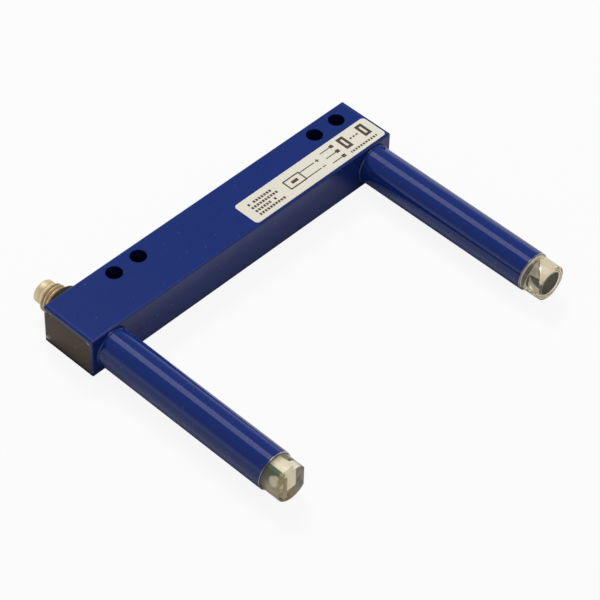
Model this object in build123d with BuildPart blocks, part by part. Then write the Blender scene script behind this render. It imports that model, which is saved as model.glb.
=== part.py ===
from math import cos, radians, sin, sqrt
import os

from build123d import *

# Fork sensor, all sizes in millimetres.
# X runs along the housing bar towards the receiver, the arms point along -Y and +Z is up.
# The origin is the middle of the mounting hole pattern, on the face that the sensor is mounted by.

# Fork
gap_width = 80.0
arm_reach = 60.0
arm_diameter = 10.5
arm_wall = 0.4
arm_inset = 6.55
root_collar = 0.25
root_collar_length = 0.7
socket_play = 0.03

# Housing bar, a rectangular tube whose bore lies a little low and to the rear
bar_depth = 17.1
bar_height = 12.15
wall_top = 1.3
wall_bottom = 0.6
wall_front = 0.95
wall_rear = 0.45
bar_edge = 0.5
end_chamfer = 0.25
bore_corner = 0.5

# Mounting holes and the sleeves that line them
hole_diameter = 4.4
hole_pitch = 8.0
hole_back_gap = 3.9
hole_receiver_margin = 6.35
hole_connector_margin = 19.55
sleeve_wall = 0.3

# Plugs that close the bar's ends
plug_depth = 2.0
plug_play = 0.05
plug_corner = 1.6
plug_recess = 0.1

# Clear tips
tip_reach = 5.8
tip_insert = 6.0
tip_play = 0.03
tip_edge = 0.3
tip_flat_depth = 0.95
tip_flat_length = 4.0
tip_pocket_wall = 0.65
pocket_play = 0.05
resin_disc_diameter = 6.6
resin_disc_depth = 0.5
resin_disc_recess = 0.2
reflector_diameter = 6.54
reflector_play = 0.03
reflector_setback = 3.8

# Small boards in the arms, with what they carry
arm_board_thickness = 0.9
arm_board_offset = 1.85
arm_board_tail = 2.4
emitter_end_wall = 1.0
emitter_depth = 3.05
emitter_length = 4.1
emitter_height = 5.0
emitter_rise = 0.6
emitter_setback = 0.8
emitter_lens_diameter = 2.4
emitter_lens_height = 0.45
emitter_lens_taper = 20
indicator_size = 1.0
indicator_length = 1.8
receiver_end_wall = 6.5
detector_depth = 4.2
detector_length = 4.0
detector_height = 4.4
detector_overhang = 0.8
detector_window_width = 3.4
detector_window_height = 3.2
detector_window_depth = 0.3
detector_window_play = 0.02

# Connector
connector_inset = 7.05
flange_diameter = 10.8
flange_thickness = 1.8
flange_edge = 0.3
collar_diameter = 8.3
collar_length = 0.5
thread_diameter = 7.9
thread_length = 3.2
thread_chamfer = 0.45
nose_diameter = 6.4
nose_length = 2.8
nose_edge = 0.3
stem_diameter = 6.2
stem_length = 3.5
stem_play = 0.05
socket_diameter = 5.2
socket_depth = 4.4
insert_diameter = 4.6
insert_play = 0.02
nut_flats = 7.6
nut_thickness = 1.6
pin_diameter = 1.0
pin_point = 0.25
pin_circle = 3.0
pin_recess = 1.0
pin_tail = 1.6
pin_play = 0.01
pin_angles = (90, 210, 330)

# Main board
board_end_gap = 11.0
board_depth = 8.0
board_thickness = 1.0
board_front_gap = 1.0
pad_length = 6.0
pad_inset = 10.0
chip_edge = 0.2

# Supply wires and the flat two-core ribbons along the arms
wire_diameter = 0.9
wire_gap = 0.02
wire_overlap = 1.5
wire_bend = 1.6
wire_straight = 1.2
wire_lane_pitch = 1.6
ribbon_width = 2.0
ribbon_thickness = 0.5
ribbon_overlap = 3.0
ribbon_end_gap = 0.3
ribbon_bend = 3.0

# Label
label_length = 46.75
label_width = 8.35
label_thickness = 0.1
label_corner = 1.1
label_end_gap = 0.8
label_front_gap = 0.7

# Places that follow from the sizes
bar_length = gap_width + arm_diameter + 2 * arm_inset
outer_hole_spacing = bar_length - hole_receiver_margin - hole_connector_margin
bar_right = outer_hole_spacing / 2 + hole_receiver_margin
bar_left = bar_right - bar_length
bar_back = hole_back_gap
bar_front = bar_back - bar_depth
axis_z = bar_height / 2
bore_front = bar_front + wall_front
bore_back = bar_back - wall_rear
bore_bottom = wall_bottom
bore_top = bar_height - wall_top
bore_depth = bore_back - bore_front
bore_height = bore_top - bore_bottom
bore_middle = ((bore_front + bore_back) / 2, (bore_bottom + bore_top) / 2)
hole_places = [
    (end * (outer_hole_spacing / 2 - row * hole_pitch), 0) for end in (-1, 1) for row in (0, 1)
]
emitter_side = -1
receiver_side = 1
arm_x = {emitter_side: bar_left + arm_inset, receiver_side: bar_right - arm_inset}
tube_radius = arm_diameter / 2
tube_length = arm_reach - tip_reach
tip_radius = tube_radius - arm_wall - tip_play
tip_root = tube_length - tip_insert
arm_board_root = tip_root - arm_board_tail
board_outer = arm_board_offset + arm_board_thickness / 2
board_inner = arm_board_offset - arm_board_thickness / 2
arm_board_half = sqrt(tip_radius**2 - board_outer**2) - tip_pocket_wall
connector_x = bar_left + connector_inset
lower_pin_z = axis_z - pin_circle / 4
wire_rest = wire_diameter / 2 + wire_gap
main_board_top = lower_pin_z - wire_rest
main_board_bottom = main_board_top - board_thickness
main_board_front = bore_front + board_front_gap
main_board_left = bar_left + board_end_gap
main_board_right = bar_right - board_end_gap
main_board_middle = (main_board_left + main_board_right) / 2


def arm_plane(side, reach):
    """Plane square to an arm, at a distance from the bar's front face, facing the arm's free end."""
    origin = (arm_x[side], bar_front - reach, axis_z)
    return Plane(origin=origin, x_dir=(1, 0, 0), z_dir=(0, -1, 0))


def connector_plane(reach):
    """Plane square to the connector, at a distance behind the bar's back face, facing its mouth."""
    return Plane(origin=(connector_x, bar_back + reach, axis_z), x_dir=(-1, 0, 0), z_dir=(0, 1, 0))


def save(piece, name):
    piece.part.label = name
    export_step(piece.part, f"parts/{name}.step")


os.makedirs("parts", exist_ok=True)

# Housing bar: block with rounded long edges and deburred ends, bored through from end to end
with BuildPart() as housing_bar:
    with BuildSketch(Plane.YZ.offset(bar_left)):
        with Locations(((bar_front + bar_back) / 2, axis_z)):
            Rectangle(bar_depth, bar_height)
    extrude(amount=bar_length)
    fillet(housing_bar.edges().filter_by(Axis.X), bar_edge)
    chamfer(housing_bar.faces().filter_by(Plane.YZ).edges(), end_chamfer)
    with BuildSketch(Plane.YZ.offset(bar_left)):
        with Locations(bore_middle):
            RectangleRounded(bore_depth, bore_height, bore_corner)
    extrude(amount=bar_length, mode=Mode.SUBTRACT)
    with BuildSketch(Plane.XY):
        with Locations(*hole_places):
            Circle(hole_diameter / 2)
    extrude(amount=bar_height, mode=Mode.SUBTRACT)
    for side in arm_x:
        with BuildSketch(arm_plane(side, -wall_front)):
            Circle(tube_radius + socket_play)
        extrude(amount=wall_front, mode=Mode.SUBTRACT)
    with BuildSketch(connector_plane(-wall_rear)):
        Circle(stem_diameter / 2 + stem_play)
    extrude(amount=wall_rear, mode=Mode.SUBTRACT)
save(housing_bar, "housing_bar")

# Spacer sleeves: they keep the screws from crushing the hollow bar
for number, place in enumerate(hole_places, start=1):
    with BuildPart() as spacer_sleeve:
        with BuildSketch(Plane.XY.offset(bore_bottom)):
            with Locations(place):
                Circle(hole_diameter / 2 + sleeve_wall)
                Circle(hole_diameter / 2, mode=Mode.SUBTRACT)
        extrude(amount=bore_height)
    save(spacer_sleeve, f"spacer_sleeve_{number}")

# End plugs: cast resin, with larger corners than the bore
for name, plug_start in (
    ("end_plug_left", bar_left + plug_recess),
    ("end_plug_right", bar_right - plug_recess - plug_depth),
):
    with BuildPart() as end_plug:
        with BuildSketch(Plane.YZ.offset(plug_start)):
            with Locations(bore_middle):
                RectangleRounded(bore_depth - 2 * plug_play, bore_height - 2 * plug_play, plug_corner)
        extrude(amount=plug_depth)
    save(end_plug, name)

# Arm tubes: turned, with a low collar at the root that seats on the bar's front face
for name, side in (("arm_tube_left", emitter_side), ("arm_tube_right", receiver_side)):
    section = Plane(origin=(arm_x[side], bar_front, axis_z), x_dir=(1, 0, 0), z_dir=(0, 0, -1))
    with BuildPart() as arm_tube:
        with BuildSketch(section):
            with BuildLine():
                Polyline(
                    (tube_radius, root_collar_length),
                    (tube_radius, tube_length),
                    (tube_radius - arm_wall, tube_length),
                    (tube_radius - arm_wall, -wall_front),
                    (tube_radius, -wall_front),
                    (tube_radius, 0),
                    (tube_radius + root_collar, 0),
                    (tube_radius + root_collar, root_collar_length - root_collar),
                    close=True,
                )
            make_face()
        revolve(axis=Axis(origin=section.origin, direction=(0, -1, 0)))
    save(arm_tube, name)


def clear_tip(side, name, end_wall, package, package_rise, package_setback, hollow):
    """Clear rod end with a flat towards the gap and a pocket that the board slides into."""
    package_depth, package_height = package
    pocket_length = arm_reach - end_wall - tip_root
    with BuildPart() as tip:
        with BuildSketch(arm_plane(side, tip_root)):
            Circle(tip_radius)
        extrude(amount=arm_reach - tip_root)
        chamfer(tip.faces().sort_by(Axis.Y)[0].edges(), tip_edge)
        with BuildSketch(arm_plane(side, arm_reach - tip_flat_length)):
            with Locations((-side * tip_radius, 0)):
                Rectangle(2 * tip_flat_depth, 2 * tip_radius)
        extrude(amount=tip_flat_length, mode=Mode.SUBTRACT)
        with BuildSketch(arm_plane(side, tip_root)):
            with Locations((side * arm_board_offset, 0)):
                Rectangle(arm_board_thickness + 2 * pocket_play, 2 * (arm_board_half + pocket_play))
        extrude(amount=pocket_length, mode=Mode.SUBTRACT)
        with BuildSketch(arm_plane(side, tip_root)):
            with Locations((side * (board_inner - package_depth / 2), package_rise)):
                Rectangle(package_depth + 2 * pocket_play, package_height + 2 * pocket_play)
        extrude(amount=pocket_length - package_setback, mode=Mode.SUBTRACT)
        if hollow:
            add(hollow, mode=Mode.SUBTRACT)
    save(tip, name)


def arm_board(side, name, end_wall):
    """Upright board on the outer side of an arm's axis."""
    board_end = arm_reach - end_wall - pocket_play
    with BuildPart() as board:
        with BuildSketch(arm_plane(side, arm_board_root)):
            with Locations((side * arm_board_offset, 0)):
                Rectangle(arm_board_thickness, 2 * arm_board_half)
        extrude(amount=board_end - arm_board_root)
    save(board, name)
    return board_end


# Emitter arm: tip, board, white light source with its lens, red indicator chip below it
emitter_pocket = (emitter_depth + emitter_lens_height, emitter_height + indicator_size)
emitter_pocket_rise = emitter_rise - indicator_size / 2
clear_tip(
    emitter_side, "emitter_tip", emitter_end_wall, emitter_pocket, emitter_pocket_rise,
    emitter_setback, None,
)
emitter_board_end = arm_board(emitter_side, "emitter_board", emitter_end_wall)
emitter_end = emitter_board_end - emitter_setback
with BuildPart() as emitter_package_body:
    with BuildSketch(arm_plane(emitter_side, emitter_end - emitter_length)):
        with Locations((emitter_side * (board_inner - emitter_depth / 2), emitter_rise)):
            Rectangle(emitter_depth, emitter_height)
    extrude(amount=emitter_length)
    lens_face = emitter_package_body.faces().sort_by(Axis.X)[-1]
    with BuildSketch(Plane(origin=lens_face.center(), z_dir=(1, 0, 0))):
        Circle(emitter_lens_diameter / 2)
    extrude(amount=emitter_lens_height, taper=emitter_lens_taper)
save(emitter_package_body, "emitter_package")

indicator_rise = emitter_rise - emitter_height / 2 - indicator_size / 2
with BuildPart() as indicator_chip:
    with BuildSketch(arm_plane(emitter_side, emitter_end - indicator_length)):
        with Locations((emitter_side * (board_inner - indicator_size / 2), indicator_rise)):
            Rectangle(indicator_size, indicator_size)
    extrude(amount=indicator_length)
save(indicator_chip, "indicator_chip")

# Receiver arm: tip with a reflector and a resin disc in its end, board, detector with its window.
# The beam comes in through the flat and the reflector's slanting face turns it along the arm.
disc_back = arm_reach - resin_disc_recess - resin_disc_depth
mirror_origin = arm_plane(receiver_side, arm_reach - reflector_setback).origin
mirror_side = Vector(receiver_side, -1, 0).normalized()


def reflector_rod(play):
    """Rod along the receiver arm's axis up to the resin disc, cut at 45 degrees at its inner end."""
    length = reflector_diameter + reflector_setback
    with BuildPart() as rod:
        with BuildSketch(arm_plane(receiver_side, disc_back - length)):
            Circle(reflector_diameter / 2 + play)
        extrude(amount=length)
        mirror = Plane(origin=mirror_origin - play * mirror_side, z_dir=mirror_side)
        split(bisect_by=mirror, keep=Keep.TOP)
    return rod.part


reflector = reflector_rod(0)
reflector.label = "receiver_reflector"
export_step(reflector, "parts/receiver_reflector.step")

with BuildPart() as receiver_hollow:
    add(reflector_rod(reflector_play))
    with BuildSketch(arm_plane(receiver_side, disc_back)):
        Circle(resin_disc_diameter / 2)
    extrude(amount=arm_reach - disc_back)
clear_tip(
    receiver_side, "receiver_tip", receiver_end_wall, (detector_depth, detector_height), 0,
    -detector_overhang, receiver_hollow.part,
)
receiver_board_end = arm_board(receiver_side, "receiver_board", receiver_end_wall)
with BuildPart() as resin_disc:
    with BuildSketch(arm_plane(receiver_side, disc_back)):
        Circle(resin_disc_diameter / 2)
    extrude(amount=resin_disc_depth)
save(resin_disc, "receiver_tip_disc")

detector_front = receiver_board_end + detector_overhang
with BuildPart() as photodetector:
    with BuildSketch(arm_plane(receiver_side, detector_front - detector_length)):
        with Locations((receiver_side * (board_inner - detector_depth / 2), 0)):
            Rectangle(detector_depth, detector_height)
    extrude(amount=detector_length)
    detector_face = Plane(photodetector.faces().sort_by(Axis.Y)[0])
    with BuildSketch(detector_face):
        Rectangle(detector_window_width, detector_window_height)
    extrude(amount=-detector_window_depth, mode=Mode.SUBTRACT)
save(photodetector, "photodetector")

with BuildPart() as detector_window:
    with BuildSketch(detector_face):
        Rectangle(
            detector_window_width - 2 * detector_window_play, detector_window_height - 2 * detector_window_play
        )
    extrude(amount=-detector_window_depth)
save(detector_window, "detector_window")

# Connector, along +Y from the bar's back face
shell_start = -wall_rear - stem_length
collar_start = flange_thickness
thread_end = collar_start + collar_length + thread_length
mouth = thread_end + nose_length
insert_front = mouth - socket_depth
with BuildPart() as connector_flange:
    with BuildSketch(connector_plane(0)):
        Circle(flange_diameter / 2)
        Circle(stem_diameter / 2 + stem_play, mode=Mode.SUBTRACT)
    extrude(amount=flange_thickness)
    outer_rim = connector_flange.faces().sort_by(Axis.Y)[-1].edges().sort_by(SortBy.LENGTH)[-1]
    chamfer(outer_rim, flange_edge)
save(connector_flange, "connector_flange")

shell_section = Plane(origin=(connector_x, bar_back, axis_z), x_dir=(1, 0, 0), z_dir=(0, 0, 1))
with BuildPart() as connector_shell:
    with BuildSketch(shell_section):
        with BuildLine():
            Polyline(
                (insert_diameter / 2, shell_start),
                (stem_diameter / 2, shell_start),
                (stem_diameter / 2, collar_start),
                (collar_diameter / 2, collar_start),
                (collar_diameter / 2, collar_start + collar_length),
                (thread_diameter / 2, collar_start + collar_length),
                (thread_diameter / 2, thread_end - thread_chamfer),
                (thread_diameter / 2 - thread_chamfer, thread_end),
                (nose_diameter / 2, thread_end),
                (nose_diameter / 2, mouth - nose_edge),
                (nose_diameter / 2 - nose_edge, mouth),
                (socket_diameter / 2, mouth),
                (socket_diameter / 2, insert_front),
                (insert_diameter / 2, insert_front),
                close=True,
            )
        make_face()
    revolve(axis=Axis(origin=shell_section.origin, direction=(0, 1, 0)))
save(connector_shell, "connector_shell")

pin_places = [
    (pin_circle / 2 * cos(radians(angle)), pin_circle / 2 * sin(radians(angle))) for angle in pin_angles
]
with BuildPart() as connector_insert:
    with BuildSketch(connector_plane(shell_start)):
        Circle(insert_diameter / 2 - insert_play)
        with Locations(*pin_places):
            Circle(pin_diameter / 2 + pin_play, mode=Mode.SUBTRACT)
    extrude(amount=insert_front - shell_start)
save(connector_insert, "connector_insert")

tail_end = shell_start - pin_tail
for number, place in enumerate(pin_places, start=1):
    with BuildPart() as connector_pin:
        with BuildSketch(connector_plane(tail_end)):
            with Locations(place):
                Circle(pin_diameter / 2)
        extrude(amount=mouth - pin_recess - tail_end)
        chamfer(connector_pin.faces().sort_by(Axis.Y)[-1].edges(), pin_point)
    save(connector_pin, f"connector_pin_{number}")

with BuildPart() as connector_nut:
    with BuildSketch(connector_plane(-wall_rear - nut_thickness)):
        RegularPolygon(nut_flats / 2, 6, major_radius=False)
        Circle(stem_diameter / 2 + stem_play, mode=Mode.SUBTRACT)
    extrude(amount=nut_thickness)
save(connector_nut, "connector_nut")

# Main board on its two pads, with the parts that stand on it
with BuildPart() as main_board:
    with BuildSketch(Plane.XY.offset(main_board_bottom)):
        with Locations((main_board_middle, main_board_front + board_depth / 2)):
            Rectangle(main_board_right - main_board_left, board_depth)
    extrude(amount=board_thickness)
save(main_board, "main_board")

for name, pad_x in (
    ("board_pad_left", main_board_left + pad_inset),
    ("board_pad_right", main_board_right - pad_inset),
):
    with BuildPart() as board_pad:
        with BuildSketch(Plane.XY.offset(bore_bottom)):
            with Locations((pad_x, main_board_front + board_depth / 2)):
                Rectangle(pad_length, board_depth)
        extrude(amount=main_board_bottom - bore_bottom)
    save(board_pad, name)

# Name, distance from the board's middle, length along X, width along Y, height
board_parts = (
    ("output_transistor", -20.0, 3.0, 1.6, 1.1),
    ("voltage_regulator", -12.0, 4.5, 2.5, 1.5),
    ("amplifier_chip", 0.0, 5.0, 4.0, 1.6),
    ("filter_capacitor", 12.0, 6.0, 3.2, 2.6),
)
for name, shift, length, width, height in board_parts:
    with BuildPart() as board_part:
        with BuildSketch(Plane.XY.offset(main_board_top)):
            with Locations((main_board_middle + shift, main_board_front + board_depth / 2)):
                Rectangle(length, width)
        extrude(amount=height)
        chamfer(board_part.faces().sort_by(Axis.Z)[-1].edges(), chip_edge)
    save(board_part, name)

# Supply wires: straight off the pins' tails, then slanting to their own places on top of the board
wire_end = main_board_left + wire_overlap
wire_lanes = (0, 1, -1)
for name, place, lane in zip(("wire_brown", "wire_blue", "wire_black"), pin_places, wire_lanes):
    tail_x = connector_x - place[0]
    tail_z = axis_z + place[1]
    lane_y = main_board_front + board_depth / 2 + lane * wire_lane_pitch
    points = [
        (tail_x, bar_back + tail_end, tail_z),
        (tail_x, bar_back + tail_end - wire_straight, tail_z),
        (wire_end, lane_y, lower_pin_z),
    ]
    with BuildPart() as wire:
        with BuildLine() as route:
            FilletPolyline(*points, radius=wire_bend)
        with BuildSketch(Plane(origin=route.line @ 0, z_dir=route.line % 0)):
            Circle(wire_diameter / 2)
        sweep(path=route.line)
    save(wire, name)

# Ribbons: upright, along the main board's front edge, round into the arm and onto the small board
for name, side, board_edge in (
    ("emitter_ribbon", emitter_side, main_board_left),
    ("receiver_ribbon", receiver_side, main_board_right),
):
    ribbon_x = arm_x[side] + side * (board_inner - ribbon_thickness / 2 - wire_gap)
    ribbon_y = main_board_front - ribbon_thickness / 2 - wire_gap
    ribbon_z = (main_board_bottom + main_board_top) / 2
    points = [
        (board_edge - side * ribbon_overlap, ribbon_y, ribbon_z),
        (ribbon_x, ribbon_y, ribbon_z),
        (ribbon_x, bar_front - tip_root + ribbon_end_gap, ribbon_z),
    ]
    with BuildPart() as ribbon:
        with BuildLine() as route:
            FilletPolyline(*points, radius=ribbon_bend)
        with BuildSketch(Plane(origin=points[0], x_dir=(0, 1, 0), z_dir=(side, 0, 0))):
            Rectangle(ribbon_thickness, ribbon_width)
        sweep(path=route.line)
    save(ribbon, name)

# Label on the top face, at the receiver end
with BuildPart() as label:
    with BuildSketch(Plane.XY.offset(bar_height)):
        with Locations(
            (
                bar_right - label_end_gap - label_length / 2,
                bar_front + label_front_gap + label_width / 2,
            )
        ):
            RectangleRounded(label_length, label_width, label_corner)
    extrude(amount=label_thickness)
save(label, "label")
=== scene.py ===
from math import atan2, cos, degrees, pi, radians, sin

import bmesh
import bpy
from mathutils import Matrix, Vector


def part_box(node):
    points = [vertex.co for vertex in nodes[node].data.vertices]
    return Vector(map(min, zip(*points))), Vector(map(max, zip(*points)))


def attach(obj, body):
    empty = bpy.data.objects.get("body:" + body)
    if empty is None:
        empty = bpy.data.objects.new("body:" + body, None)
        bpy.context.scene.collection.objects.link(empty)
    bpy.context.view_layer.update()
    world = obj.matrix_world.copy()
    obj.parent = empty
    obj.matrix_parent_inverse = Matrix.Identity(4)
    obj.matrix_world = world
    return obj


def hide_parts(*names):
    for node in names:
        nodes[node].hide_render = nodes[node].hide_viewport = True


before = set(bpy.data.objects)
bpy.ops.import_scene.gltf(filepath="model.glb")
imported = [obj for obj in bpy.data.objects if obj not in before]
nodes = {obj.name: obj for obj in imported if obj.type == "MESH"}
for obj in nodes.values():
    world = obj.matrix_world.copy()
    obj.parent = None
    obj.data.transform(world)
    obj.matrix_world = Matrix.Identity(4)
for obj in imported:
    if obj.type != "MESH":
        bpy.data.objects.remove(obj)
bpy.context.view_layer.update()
mm = 0.001
hair = 0.001 * mm                              # places nearer than this are the same
print("frame loaded,", len(nodes), "nodes")


# Shader maths

class Value:                                   # one output of a shader node, ready for sums
    def __init__(self, tree, socket):
        self.tree = tree
        self.socket = socket

    def sums(self, operation, first, second):
        return self.tree.node("Math", {"operation": operation}, {0: first, 1: second})

    def __add__(self, other):
        return self.sums("ADD", self, other)

    def __sub__(self, other):
        return self.sums("SUBTRACT", self, other)

    def __rsub__(self, other):
        return self.sums("SUBTRACT", other, self)

    def __mul__(self, other):
        return self.sums("MULTIPLY", self, other)

    def __truediv__(self, other):
        return self.sums("DIVIDE", self, other)

    def __lt__(self, other):
        return self.sums("LESS_THAN", self, other)

    def __gt__(self, other):
        return self.sums("GREATER_THAN", self, other)

    def __abs__(self):
        return self.sums("ABSOLUTE", self, 0)

    def wrap(self, other):
        return self.sums("FLOORED_MODULO", self, other)

    def floor(self):
        return self.sums("FLOOR", self, 0)

    def least(self, other):
        return self.sums("MINIMUM", self, other)

    def most(self, other):
        return self.sums("MAXIMUM", self, other)

    def other(self, name):                     # another output of the same node
        return Value(self.tree, self.socket.node.outputs[name])

    __radd__ = __add__
    __rmul__ = __mul__


class Tree:                                    # a node tree and the one way that nodes get into it
    def __init__(self, tree):
        self.tree = tree

    def node(self, kind, settings, inputs, out=0):
        node = self.tree.nodes.new("ShaderNode" + kind)
        for setting, value in settings.items():
            setattr(node, setting, value)
        for socket, value in inputs.items():
            self.feed(node.inputs[socket], value)
        return Value(self, node.outputs[out])

    def feed(self, socket, value):
        if isinstance(value, Value):
            self.tree.links.new(value.socket, socket)
        else:
            socket.default_value = value

    def mix(self, mask, first, second):        # from colour socket 6 to 7, out of colour socket 2
        return self.node("Mix", {"data_type": "RGBA"}, {0: mask, 6: first, 7: second}, 2)

    def point(self, x, y, z):
        return self.node("CombineXYZ", {}, {0: x, 1: y, 2: z})

    def reach(self, x, y, z=0.0):              # length of the vector
        return self.node("VectorMath", {"operation": "LENGTH"}, {0: self.point(x, y, z)}, "Value")

    def step(self, value, low, high):          # soft step from 0 to 1
        inputs = {"Value": value, "From Min": low, "From Max": high}
        return self.node("MapRange", {"interpolation_type": "SMOOTHSTEP"}, inputs)


class Finish(Tree):                            # a material with one Principled shader
    def __init__(self, name, fixed):
        self.material = bpy.data.materials.new(name)
        self.material.use_nodes = True
        super().__init__(self.material.node_tree)
        self.shader = self.tree.nodes["Principled BSDF"]
        for socket, value in fixed.items():
            self.shader.inputs[socket].default_value = value
        self.place = self.node("TexCoord", {}, {}, "Object")
        self.x = self.node("SeparateXYZ", {}, {0: self.place}, "X")
        self.y = self.x.other("Y")
        self.z = self.x.other("Z")

    def noise(self, size, detail=2.0, seed=0.0):
        inputs = {"Vector": self.place, "W": seed, "Scale": 1 / (size * mm), "Detail": detail}
        return self.node("TexNoise", {"noise_dimensions": "4D"}, inputs)

    def stretched(self, size, detail=2.0):     # noise with its own size along X, Y and Z
        scale = [1 / (side * mm) for side in size]
        place = self.node("Mapping", {}, {"Vector": self.place, "Scale": scale})
        return self.node("TexNoise", {}, {"Vector": place, "Scale": 1.0, "Detail": detail})

    def specks(self, spacing, size, share, seed=0.0):     # round spots in a share of the cells
        inputs = {"Vector": self.place, "W": seed, "Scale": 1 / (spacing * mm)}
        reach = self.node("TexVoronoi", {"voronoi_dimensions": "4D"}, inputs)
        chance = self.node("SeparateColor", {}, {0: reach.other("Color")})
        spot = 1 - self.step(reach, 0.3 * size / spacing, 0.6 * size / spacing)
        return spot * (chance < share)

    def spots(self, marks):                    # place, radius and strength of each, in millimetres
        mask = 0.0
        for place, radius, strength in marks:
            offsets = [axis - side * mm for axis, side in zip((self.x, self.y, self.z), place)]
            spot = 1 - self.step(self.reach(*offsets), 0.7 * radius * mm, 1.3 * radius * mm)
            mask = (spot * strength).most(mask)
        return mask

    def bump(self, height, depth):             # depth in millimetres
        bump = self.node("Bump", {}, {"Height": height, "Distance": depth * mm})
        self.feed(self.shader.inputs["Normal"], bump)

    def use(self, **inputs):
        names = {"colour": "Base Color", "rough": "Roughness", "metal": "Metallic"}
        for name, value in inputs.items():
            self.feed(self.shader.inputs[names[name]], value)
        return self


def dress(finish, *names):                     # gives CAD nodes their finish
    for name in names:
        for place in nodes[name].material_slots:
            place.material = finish.material


def colour(red, green, blue):
    return (red, green, blue, 1.0)


white = colour(1.0, 1.0, 1.0)


# Camera at the photograph's place

cameraSize = {
    "place": (-0.333448, -0.334302, 0.472608),
    "turn": -47.197,
    "tilt": 90 - 46.543,
    "roll": 1.950,
    "lens": 158.70,
    "sensor": 36.0,
}
cameraData = bpy.data.cameras.new("camera")
cameraData.sensor_width = cameraSize["sensor"]
cameraData.lens = cameraSize["lens"]
camera = bpy.data.objects.new("camera", cameraData)
bpy.context.scene.collection.objects.link(camera)
aim = Matrix.Rotation(radians(cameraSize["turn"]), 4, "Z")
aim = aim @ Matrix.Rotation(radians(cameraSize["tilt"]), 4, "X")
aim = aim @ Matrix.Rotation(radians(cameraSize["roll"]), 4, "Z")
camera.matrix_world = Matrix.Translation(cameraSize["place"]) @ aim
bpy.context.scene.camera = camera
bpy.context.scene.view_settings.view_transform = "Standard"
print("camera placed")


# Studio: soft boxes, a pale surround and a white floor

lampSizes = {
    "softboxBehind": {
        "towards": (0.115, 0.50, 0.85),
        "distance": 1.2,
        "size": (0.50, 0.54),
        "radiance": 1.55,
        "mirrored": True,
    },
    "softboxAbove": {
        "towards": (0.15, -0.02, 1.00),
        "distance": 1.3,
        "size": (1.00, 0.90),
        "radiance": 1.5,
        "mirrored": True,
    },
    "keyBehind": {
        "towards": (0.35, 0.60, 1.00),
        "distance": 1.5,
        "size": (0.45, 0.45),
        "radiance": 18.0,
        "mirrored": False,
    },
}
for name, size in lampSizes.items():
    lampData = bpy.data.lights.new(name, "AREA")
    lampData.shape = "RECTANGLE"
    lampData.size, lampData.size_y = size["size"]
    lampData.energy = size["radiance"] * pi * size["size"][0] * size["size"][1]
    lamp = bpy.data.objects.new(name, lampData)
    direction = Vector(size["towards"]).normalized()
    lamp.location = direction * size["distance"]
    lamp.rotation_euler = direction.to_track_quat("Z", "Y").to_euler()
    lamp.visible_glossy = size["mirrored"]
    bpy.context.scene.collection.objects.link(lamp)

surround = {"seen": 1.0, "ceiling": 0.28, "backdrop": 0.85, "diffuse": 0.25, "low": 0.12, "high": 0.45}
world = bpy.data.worlds.new("surround")
world.use_nodes = True
bpy.context.scene.world = world
sky = Tree(world.node_tree)
rays = sky.node("LightPath", {}, {}, "Is Camera Ray")
seen = rays.most(rays.other("Is Transmission Ray"))
up = sky.node("SeparateXYZ", {}, {0: sky.node("TexCoord", {}, {}, "Generated")}, "Z")
drop = surround["backdrop"] - surround["ceiling"]
mirror = surround["backdrop"] - sky.step(up, surround["low"], surround["high"]) * drop
glossy = rays.other("Is Glossy Ray")
level = mirror * glossy + surround["diffuse"] * (1 - glossy)
level = level * (1 - seen) + seen * surround["seen"]
sky.feed(sky.tree.nodes["Background"].inputs["Strength"], level)
sky.feed(sky.tree.nodes["Background"].inputs["Color"], white)

floorSize = {
    "half": 3.0,
    "below": 0.02 * mm,
    "cells": 4,
    "darker": colour(0.71, 0.71, 0.71),
    "paler": colour(0.73, 0.73, 0.73),
    "grain": 30.0,
    "seenWhite": 0.90,
}
shape = bmesh.new()
cells = floorSize["cells"]
bmesh.ops.create_grid(shape, x_segments=cells, y_segments=cells, size=floorSize["half"])
bmesh.ops.translate(shape, verts=shape.verts, vec=(0, 0, -floorSize["below"]))
floorMesh = bpy.data.meshes.new("floor")
shape.to_mesh(floorMesh)
shape.free()
floor = bpy.data.objects.new("floor", floorMesh)
bpy.context.scene.collection.objects.link(floor)
paper = Finish("paper", {"Roughness": 0.9, "Specular IOR Level": 0.0})
grain = paper.noise(floorSize["grain"])
paper.use(colour=paper.mix(grain, floorSize["darker"], floorSize["paler"]))
glow = paper.node("Emission", {}, {"Color": white, "Strength": 1.0})
cameraRay = paper.node("LightPath", {}, {}, "Is Camera Ray")
throughRay = cameraRay.other("Is Transmission Ray")
lit = Value(paper, paper.shader.outputs[0])
share = cameraRay.most(throughRay) * floorSize["seenWhite"]
seenPaper = paper.node("MixShader", {}, {0: share, 1: lit, 2: glow})
paper.feed(paper.tree.nodes["Material Output"].inputs["Surface"], seenPaper)
floorMesh.materials.append(paper.material)
print("studio set")


# Blue paint of the bar and the tubes

paint = {                                      # sizes in millimetres
    "deep": colour(0.0030, 0.0205, 0.160),
    "light": colour(0.0040, 0.0250, 0.190),
    "dust": colour(0.28, 0.30, 0.42),
    "bare": colour(0.62, 0.60, 0.57),
    "specular": 0.45,
    "cloud": 14.0,
    "mottle": 0.9,
    "mottleShare": 0.4,
    "mottleRough": 0.05,
    "ripple": 0.55,
    "wave": 2.6,
    "waveHeight": 1.5,
    "dustGrain": 0.45,
    "dustSteps": (0.77, 0.85),
    "dustTint": 0.30,
    "dustHeight": 0.8,
    "dustRough": 0.3,
}


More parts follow.
